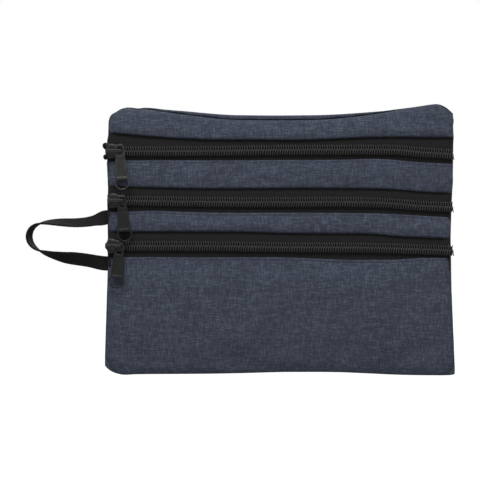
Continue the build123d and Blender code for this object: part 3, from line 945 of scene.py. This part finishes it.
def divider(node, flat_depth, zipper, lift, seed):
    """lift: height of the turn above the chain's centre line."""
    rings = []
    noise = make_noise(seed)
    for x in np.linspace(-103.3, 103.3, 90):
        foot_z = z_bottom(x) + 3.0
        turn_z = ZIP_MID[zipper](x) + lift
        full = swell(np.minimum(x + 107, 107 - x), 9.0)
        rise_z = np.linspace(foot_z, turn_z - DIVIDER_BEND, 46)
        wave = 0.28 * noise(x / 19, rise_z / 13) + 0.12 * noise(x / 7 + 40, rise_z / 6)
        wave = wave * smooth((rise_z - foot_z) / 10) * smooth((turn_z - rise_z) / 10)
        rise_depth = (flat_depth + wave) * full

        bend = np.linspace(0.15, 1, 8) * np.pi / 2
        bend_z = turn_z - DIVIDER_BEND + DIVIDER_BEND * np.sin(bend)
        bend_depth = rise_depth[-1] + DIVIDER_BEND * (1 - np.cos(bend))

        t = np.linspace(0.2, 1, 6)
        lip_start = DIVIDER_REACH * full - DIVIDER_LIP
        run_depth = mixed(bend_depth[-1], lip_start, t)

        lip = t * np.pi / 2
        lip_z = turn_z + DIVIDER_LIP * (1 - np.cos(lip)) + 2.0 * np.maximum(t - 0.6, 0)
        lip_depth = lip_start + DIVIDER_LIP * np.sin(lip)

        line = np.stack([
            np.concatenate([rise_z, bend_z, np.full(len(t), turn_z), lip_z]),
            np.concatenate([rise_depth, bend_depth, run_depth, lip_depth]),
        ], axis=1)
        tangent = unit(np.gradient(line, axis=0))
        offset = np.stack([tangent[:, 1], -tangent[:, 0]], axis=1) * DIVIDER_HALF_THICKNESS
        section = there_and_back(line + offset, line - offset)
        rings.append(place_points(x, section[:, 1], section[:, 0]))
    obj = loft(f"{node}_sheet", rings, M_LINING, "lining", node)
    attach(obj, "pouch")


divider("divider_rear", flat_depth=-0.68, zipper=2, lift=9.2, seed=61)
divider("divider_front", flat_depth=0.98, zipper=3, lift=8.8, seed=67)

# --------------------------------------------------------------------------
# Seam all round: a dark binding between the front and back fabrics; its dark colour also paints
# the shade along the rolled seam
# --------------------------------------------------------------------------

SEAM_STATIONS = 720
SEAM_INSET = 0.38
# section of the binding: (distance in from the outline, depth)
SEAM_SECTION = np.array([
    (0.0, 0.0), (0.1, 0.34), (0.7, 0.42), (1.8, 0.36), (2.7, 0.30),
    (2.7, -0.30), (1.8, -0.36), (0.7, -0.42), (0.1, -0.34),
])


def outline_points():
    """Points (x, z) round the outline, clockwise from the left side's foot."""
    left, right = np.linspace(9.6, 157.0, 150), np.linspace(157.6, 8.4, 150)
    top, bottom = np.linspace(-105.8, 107.9, 240), np.linspace(108.5, -107.9, 240)
    return np.stack([
        np.concatenate([x_left(left), top, x_right(right), bottom]),
        np.concatenate([left, z_top(top), right, z_bottom(bottom)]),
    ], axis=1)


def seam_ring():
    outline = outline_points()
    # even spacing, then a light smoothing so the corners turn without kinks
    closed = np.vstack([outline, outline[:1]])
    run = np.concatenate([[0], np.cumsum(np.linalg.norm(np.diff(closed, axis=0), axis=1))])
    even = np.linspace(0, run[-1], SEAM_STATIONS, endpoint=False)
    path = np.stack([np.interp(even, run, closed[:, i]) for i in range(2)], axis=1)
    for _ in range(3):
        path = (np.roll(path, 1, axis=0) + 2 * path + np.roll(path, -1, axis=0)) / 4
    tangent = unit(np.roll(path, -1, axis=0) - np.roll(path, 1, axis=0))
    inward_x, inward_z = tangent[:, 1:], -tangent[:, :1]
    x, z = path[:, :1], path[:, 1:]
    # along the top the binding starts below the front strip's edge
    start = SEAM_INSET + slip(x) * smooth((-inward_z - 0.5) / 0.3)
    ripple = 0.05 * np.sin(0.9 * np.arange(SEAM_STATIONS))[:, None]
    inset = SEAM_SECTION[:, 0] + start
    rings = np.stack(
        [x + inward_x * inset, -SEAM_SECTION[:, 1] * (1 + ripple), z + inward_z * inset], axis=2
    )
    obj = loft("seam_binding_ring", rings, M_SEAM_TAPE_SHADE, "seam_tape", "seam_binding", closed=True)
    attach(obj, "pouch")


seam_ring()

# --------------------------------------------------------------------------
# Zippers. "off" is the distance from the chain's centre line within a half;
# "along" is the distance to the right of the closed slider's centre.
# --------------------------------------------------------------------------

COIL_PITCH = 1.5
COIL_WIRE = 0.30        # radius
COIL_STEPS = 14         # points per turn
COIL_HALF_WIDTH = 1.72  # of a loop, in the plane of the tape
COIL_HALF_DEPTH = 0.84
CHAIN_OFF = 1.30
CHAIN_DEPTH = 4.42
CHAIN_END_DEPTH = 1.3   # depth the chain sinks towards at the right side seam
# how far the halves part left of the slider: zipper -> (upper, lower)
CHAIN_SPREAD = {1: (1.85, 2.2), 2: (1.5, 1.6), 3: (1.1, 1.2)}
# length of each half's free end left of the slider
FREE_END = {
    (1, 1): 7.25, (1, -1): 6.85,
    (2, 1): 5.6, (2, -1): 5.6,
    (3, 1): 4.0, (3, -1): 4.0,
}
# distances off the centre line where the tape has points, and its outer limits
TAPE_OFFS = np.array([1.15, 1.3, 1.75, 2.2, 3.2, 4.6, 6.0, 7.4, 8.8, 10.2, 11.6, 12.8, 13.0])
TAPE_LIMITS = {1: (13.0, 12.6), 2: (12.6, 13.0), 3: (12.8, 12.6)}  # (upper, lower)


def of_side(pair, side):
    """Picks from an (upper, lower) pair."""
    return pair[0 if side > 0 else 1]


def zip_tape(zipper, side):
    """One half's woven tape, with a bead beside the chain and ends that sink to the seams."""
    shares = np.concatenate(
        [np.linspace(0, 0.03, 12), np.linspace(0.035, 0.965, 180), np.linspace(0.97, 1, 18)]
    )
    off = np.minimum(TAPE_OFFS, of_side(TAPE_LIMITS[zipper], side))
    rings = []
    for share in shares:
        z = ZIP_MID[zipper](-106.4 + share * 213.6) + side * off
        x = across(share, z, 0.3)
        keep = np.minimum(swell(x + 107.0, 1.6), swell(107.6 - x, 6.5))
        ripple = 0.07 * noise_b(x / 9.0 + 17 * zipper, z / 7) * smooth((off - 3) / 3)
        bead = 0.10 * ridge(off - 1.6, 0.35)
        rear = 2.62 - bead + ripple
        face = 3.14 + bead * 0.2 + ripple
        rear[0], face[0] = 2.74, 3.04
        face = mixed(0.25, face, keep)
        rear = mixed(0.07, rear, keep)
        rings.append(
            place_points(there_and_back(x, x), there_and_back(face, rear), there_and_back(z, z))
        )
    node = f"zip{zipper}_tape_{HALVES[side]}"
    return loft(f"{node}_cloth", rings, M_TAPE, "zipper_tape", node)


def chain_path(zipper, side, along):
    """Centre of one half's loops: x, off, depth, and the loops' half width."""
    x = SLIDER_X[zipper] + along
    part = smooth((-along + 0.4) / 4.6)
    curl = smooth((-along - 4.6) / 3.2)
    off = CHAIN_OFF + part * of_side(CHAIN_SPREAD[zipper], side)
    keep = swell(108.6 - x, 6.0)
    depth = mixed(CHAIN_END_DEPTH, CHAIN_DEPTH, 0.30 + 0.70 * keep) - curl * 1.5
    return x, off, depth, COIL_HALF_WIDTH - 0.12 * part


def zip_coil(zipper, side):
    """Helical nylon monofilament wound round a filler cord; the halves are out of step."""
    free_end = FREE_END[zipper, side]
    start, end = -free_end, 107.3 - SLIDER_X[zipper]
    turns = int((end - start) / COIL_PITCH)
    angle = 2 * np.pi * np.arange(turns * COIL_STEPS + 1) / COIL_STEPS
    first = math.ceil(start / COIL_PITCH) * COIL_PITCH + of_side((0.0, COIL_PITCH / 2), side)
    along = first + COIL_PITCH * angle / (2 * np.pi) - COIL_PITCH / 2
    x, off, depth, half_width = chain_path(zipper, side, along)
    # the last turns of the free end draw in, after a bulge on zipper 1
    size = 0.40 + 0.60 * smooth((along + free_end + 0.45) / 1.9)
    size = size * (1 + (0.20 if zipper == 1 else 0.0) * smooth((-along - 4.2) / 1.4))
    off = off + half_width * size * signed_power(np.cos(angle), 0.82)
    depth = depth + COIL_HALF_DEPTH * size * signed_power(np.sin(angle), 0.72)
    # heads are pressed a little wider where they lock
    head = np.clip(-np.cos(angle), 0, 1) ** 3
    wire = COIL_WIRE * (1 + 0.12 * head + 0.15 * smooth((-along - 4.0) / 2.0))
    verts, faces = tube(place_points(x, depth, ZIP_MID[zipper](x) + side * off), wire, sides=7)
    node = f"zip{zipper}_coil_{HALVES[side]}"
    return make_object(f"{node}_wire", verts, faces, M_COIL, "zipper_coil", node)


def coil_cord(zipper, side):
    """Filler cord inside the loops, with a slight twist and a thicker free end; its near-black
    colour also paints the shade in the gaps between the wires.
    """
    free_end = FREE_END[zipper, side]
    along = np.concatenate(
        [np.linspace(-free_end - 0.1, 2, 50), np.linspace(2.3, 107.0 - SLIDER_X[zipper], 380)]
    )
    x, off, depth, half_width = chain_path(zipper, side, along)
    twist = 2 * np.pi * along / 1.3
    z = ZIP_MID[zipper](x) + side * (off + 0.06 * half_width) + 0.03 * np.cos(twist)
    path = place_points(x, depth - 0.05 - 0.03 * np.sin(twist), z)
    bulge = smooth((-along - 4.2) / 1.4)
    close = np.maximum(quarter_round(along + free_end + 0.2, 2.0), math.sqrt(0.03))
    extra = 0.2 if zipper > 1 else of_side((0.95, 0.68), side)
    verts, faces = tube(
        path, (1.16 + extra * bulge) * close, sides=14, reference=(0, 1, 0),
        squash=0.40 + 0.40 * bulge,
    )
    name = f"zip{zipper}_cord_{HALVES[side]}"
    return make_object(name, verts, faces, M_CORD_GAP_SHADE, "zipper_coil")


def chain_stitches(zipper, side):
    """Two rows of lock stitch that hold the coil to its tape, one stitch per loop."""
    start, end = -FREE_END[zipper, side] + 1.8, 106.6 - SLIDER_X[zipper]
    parts = []
    for row_share in (0.60, 1.0):
        along = np.arange(start, end, COIL_PITCH / 6)
        x, off, depth, half_width = chain_path(zipper, side, along)
        phase = 2 * np.pi * along / COIL_PITCH
        # over each wire, then down between the wires to the tape
        over = 0.5 + 0.5 * np.cos(phase + of_side((0, np.pi), side))
        off = off + row_share * half_width + 0.08 * np.sin(phase)
        path = place_points(x, depth + 0.55 + 0.68 * over, ZIP_MID[zipper](x) + side * off)
        parts.append(tube(path, 0.10, sides=5))
    verts, faces = merged(parts)
    name = f"zip{zipper}_chain_stitch_{HALVES[side]}"
    return make_object(name, verts, faces, M_CHAIN_THREAD, "zipper_coil")


for zipper in ZIPPERS:
    for side in HALVES:
        for build in (zip_tape, zip_coil, coil_cord, chain_stitches):
            piece = build(zipper, side)
            if side > 0:
                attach(piece, "pouch")
            else:
                open_with(piece, zipper)

END_STATIONS = 9
END_HALF_HEIGHT = 4.3
END_REAR = 0.05  # depth of the rear face


def end_seam(zipper):
    """Rounded block behind the chain's right end, where the tapes meet the side seam."""
    edge = x_right(ZIP_MID[zipper](106.0))
    angle = np.linspace(0, 2 * np.pi, 28, endpoint=False)
    rings = []
    for i, x in enumerate(np.linspace(104.8, edge - 0.45, END_STATIONS)):
        rounding = math.sqrt(max(1 - abs(2 * i / (END_STATIONS - 1) - 1) ** 4, 0.12))
        front = chain_path(zipper, 1, x - SLIDER_X[zipper])[2] - 1.15
        front = max(front, END_REAR + 0.5)
        z = ZIP_MID[zipper](x) + END_HALF_HEIGHT * rounding * signed_power(np.cos(angle), 0.5)
        z = z + 0.06 * np.sin(5 * angle + i)
        half_depth = 0.5 * (front - END_REAR) * rounding
        depth = 0.5 * (END_REAR + front) + half_depth * signed_power(np.sin(angle), 0.5)
        rings.append(place_points(x, depth, z))
    obj = loft(f"zip{zipper}_end_seam", rings, M_SEAM_TAPE_SHADE, "seam_tape")
    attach(obj, "pouch")


for zipper in ZIPPERS:
    end_seam(zipper)

# --------------------------------------------------------------------------
# Stitches along the folded edges
# --------------------------------------------------------------------------

STITCH_RADIUS = 0.17


def stitch_depth(zipper, x, down):
    """Depth of the fabric's face at a distance below its folded edge."""
    _, foot, head, crown, _ = BANDS[zipper]
    z = head(x) - down
    depth = front_depth(x, z, foot(x), head(x), crown)
    return mixed(FRONT_RIM, depth, swell(edge_distance(x, z)))


def stitch_row(zipper):
    parts = []
    start_x = -105.2
    wobble = np.random.RandomState(100 + zipper)
    t = np.linspace(0, 1, 7)
    from_middle = np.abs(2 * t - 1)
    while start_x < 104.6:
        # the third draw only keeps the sequence
        height, slant, _ = wobble.rand(3) * 0.12 - 0.06
        x = start_x + t * STITCH_LENGTH
        down = STITCH_DOWN + height + t * slant
        depth = stitch_depth(zipper, x, down) + 0.05 - 0.20 * from_middle**4
        radius = STITCH_RADIUS * np.clip(1.15 - from_middle**6, 0.3, 1)
        path = place_points(x, depth, ZIP_LO[zipper](x) - down)
        parts.append(tube(path, radius, sides=6, reference=(0, 1, 0)))
        start_x += STITCH_PITCH
    verts, faces = merged(parts)
    name = f"topstitch_zip{zipper}"
    obj = make_object(name, verts, faces, M_THREAD, "thread", "topstitching")
    open_with(obj, zipper)


for zipper in ZIPPERS:
    stitch_row(zipper)

# --------------------------------------------------------------------------
# Wrist strap: one continuous webbing from the seam, round and back
# --------------------------------------------------------------------------

# x, z, turn of the width out of the X-Z plane in degrees
STRAP_PATH = np.array([
    (-103.6, 98.1, 0), (-105.2, 98.1, 0), (-107.6, 98.0, 0), (-110.2, 97.25, 16),
    (-113.3, 96.4, 40), (-118.6, 95.3, 51), (-123.6, 94.8, 54), (-128.8, 94.7, 57),
    (-135.4, 94.95, 62), (-139.9, 95.0, 69), (-144.3, 94.85, 78), (-148.4, 94.2, 89),
    (-151.3, 93.0, 98), (-153.5, 91.0, 105), (-154.8, 88.4, 109), (-155.1, 85.7, 110.5),
    (-154.4, 82.9, 108.5), (-152.7, 80.3, 103), (-150.5, 78.45, 96), (-148.7, 77.35, 89),
    (-146.3, 76.4, 79), (-142.1, 75.1, 67), (-137.2, 73.95, 54), (-132.9, 73.15, 42),
    (-127.9, 72.6, 30), (-122.1, 71.9, 26), (-117.0, 71.1, 24), (-112.4, 70.15, 16),
    (-109.8, 69.7, 7), (-107.7, 69.5, 0), (-105.2, 69.4, 0), (-103.6, 69.4, 0),
], float)
STRAP_STATIONS = 300
STRAP_HALF_WIDTH = 4.5
STRAP_HALF_THICKNESS = 0.56
SELVEDGE = 0.45  # width of the rounded edge
SELVEDGE_SWELL = 0.10
RIB_HEIGHT, RIB_PITCH = 0.045, 1.15


def strap_section():
    """Flat faces, and rounded selvedges slightly thicker than the middle."""
    flat = STRAP_HALF_WIDTH - SELVEDGE
    half = [
        (t * flat, STRAP_HALF_THICKNESS * (1 + SELVEDGE_SWELL * abs(t) ** 6))
        for t in np.linspace(-1, 1, 17)
    ]
    edge_half = STRAP_HALF_THICKNESS * (1 + SELVEDGE_SWELL)
    for angle in np.linspace(0.2, 0.8, 4) * math.pi:
        half.append((flat + SELVEDGE * math.sin(angle), edge_half * math.cos(angle)))
    half = np.array(half)
    return np.concatenate([half, -half])


def strap():
    steps = np.hypot(np.diff(STRAP_PATH[:, 0]), np.diff(STRAP_PATH[:, 1]))
    run = np.concatenate([[0], np.cumsum(steps)])
    even = np.linspace(0, run[-1], STRAP_STATIONS)
    path = np.stack([curve(np.stack([run, STRAP_PATH[:, i]], axis=1))(even) for i in range(3)])
    for _ in range(6):
        path[:, 1:-1] = (path[:, :-2] + 2 * path[:, 1:-1] + path[:, 2:]) / 4
    x, z, turn = path
    turn = np.radians(turn)
    along = unit(np.stack([np.gradient(x), 0 * x, np.gradient(z)], axis=1))
    widthways = np.stack(
        [-along[:, 2] * np.cos(turn), -np.sin(turn), along[:, 0] * np.cos(turn)], axis=1
    )
    normal = np.cross(widthways, along)
    section = strap_section()
    rib = RIB_HEIGHT * np.sin(2 * np.pi * even / RIB_PITCH)[:, None]
    # the ends are pressed flat inside the seam
    pressed = (1 - 0.58 * smooth((x + 108.0) / 1.4))[:, None]
    thickness = (section[:, 1] + np.sign(section[:, 1]) * rib) * pressed
    rings = (
        place_points(x, 0 * x, z)[:, None, :]
        + section[None, :, 0:1] * widthways[:, None, :]
        + thickness[:, :, None] * normal[:, None, :]
    )
    obj = loft(
        "wrist_strap_webbing", rings, M_WEBBING, "webbing", "wrist_loop", "wrist_loop_ends",
        attributes={
            "strap_along": np.repeat(even, len(section)) * MM,
            "strap_across": np.tile(section[:, 0], STRAP_STATIONS) * MM,
        },
    )
    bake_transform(obj)


strap()

# --------------------------------------------------------------------------
# Cast parts keep their CAD shape and get their own finish
# --------------------------------------------------------------------------


def finish_cast(node, material):
    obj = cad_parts[node]
    obj.data.materials.clear()
    obj.data.materials.append(material)


for zipper in ZIPPERS:
    finish_cast(f"zip{zipper}_slider", M_SLIDER)
    # tab 1 gets the lighter copy, which carries the painted highlight of its glare
    tab_material = M_TAB_WORN_GLARE if zipper == 1 else M_TAB
    finish_cast(f"zip{zipper}_pull_tab", tab_material)

# --------------------------------------------------------------------------
# Stage: pale floor, soft even light, square-on view. Metres.
# --------------------------------------------------------------------------

FLOOR_HALF = 6
LIGHT_TARGET = (0, 0, 0.08)
LENS_MM, SENSOR_MM = 250, 36
VIEW_WIDTH = 0.2976  # width seen in the plane of the seams
CAMERA_X, CAMERA_Z = -0.02437, 0.0840


def seen_or(tree, seen, otherwise):
    """Socket: one strength as the camera sees it, another as light."""
    path = tree.nodes.new("ShaderNodeLightPath")
    mix = tree.nodes.new("ShaderNodeMix")
    mix.data_type = "FLOAT"
    tree.links.new(path.outputs["Is Camera Ray"], mix.inputs[0])
    mix.inputs[2].default_value = otherwise
    mix.inputs[3].default_value = seen
    return mix.outputs[0]


def make_world():
    world = bpy.data.worlds.new("studio")
    world.use_nodes = True
    tree = world.node_tree
    background = tree.nodes["Background"]
    background.inputs[0].default_value = (1, 1, 1, 1)
    tree.links.new(seen_or(tree, seen=1.0, otherwise=0.40), background.inputs[1])
    scene.world = world


def make_floor():
    mesh = bpy.data.meshes.new("floor")
    corners = [(-1, -1), (1, -1), (1, 1), (-1, 1)]
    verts = [(x * FLOOR_HALF, y * FLOOR_HALF, 0) for x, y in corners]
    mesh.from_pydata(verts, [], [(0, 1, 2, 3)])
    floor = bpy.data.objects.new("floor", mesh)
    scene.collection.objects.link(floor)
    pale = Nodes("pale_floor")
    pale.finish(grey(0.12), roughness=0.9, specular=0.0)
    pale.put(pale.bsdf, "Emission Color", (1, 1, 1, 1))
    strength = seen_or(pale.tree, seen=0.97, otherwise=0.25)
    pale.put(pale.bsdf, "Emission Strength", strength)
    floor.data.materials.append(pale.mat)


def area_light(name, place, size, power):
    data = bpy.data.lights.new(name, "AREA")
    data.shape = "RECTANGLE"
    data.size, data.size_y = size
    data.energy = power
    obj = bpy.data.objects.new(name, data)
    obj.location = place
    aim = Vector(LIGHT_TARGET) - Vector(place)
    obj.rotation_euler = aim.to_track_quat("-Z", "Y").to_euler()
    scene.collection.objects.link(obj)


def make_camera():
    data = bpy.data.cameras.new("camera")
    data.sensor_width = SENSOR_MM
    data.lens = LENS_MM
    data.clip_end = 50
    camera = bpy.data.objects.new("camera", data)
    camera.location = (CAMERA_X, -LENS_MM * VIEW_WIDTH / SENSOR_MM, CAMERA_Z)
    camera.rotation_euler = (math.radians(90), 0, 0)
    scene.collection.objects.link(camera)
    scene.camera = camera


make_world()
make_floor()
area_light("key", place=(-0.15, -1.0, 1.30), size=(1.0, 0.6), power=20.0)
area_light("rear", place=(0.5, 1.3, 1.1), size=(1.0, 0.7), power=16.0)
make_camera()
scene.view_settings.view_transform = "Standard"
scene.view_settings.look = "None"
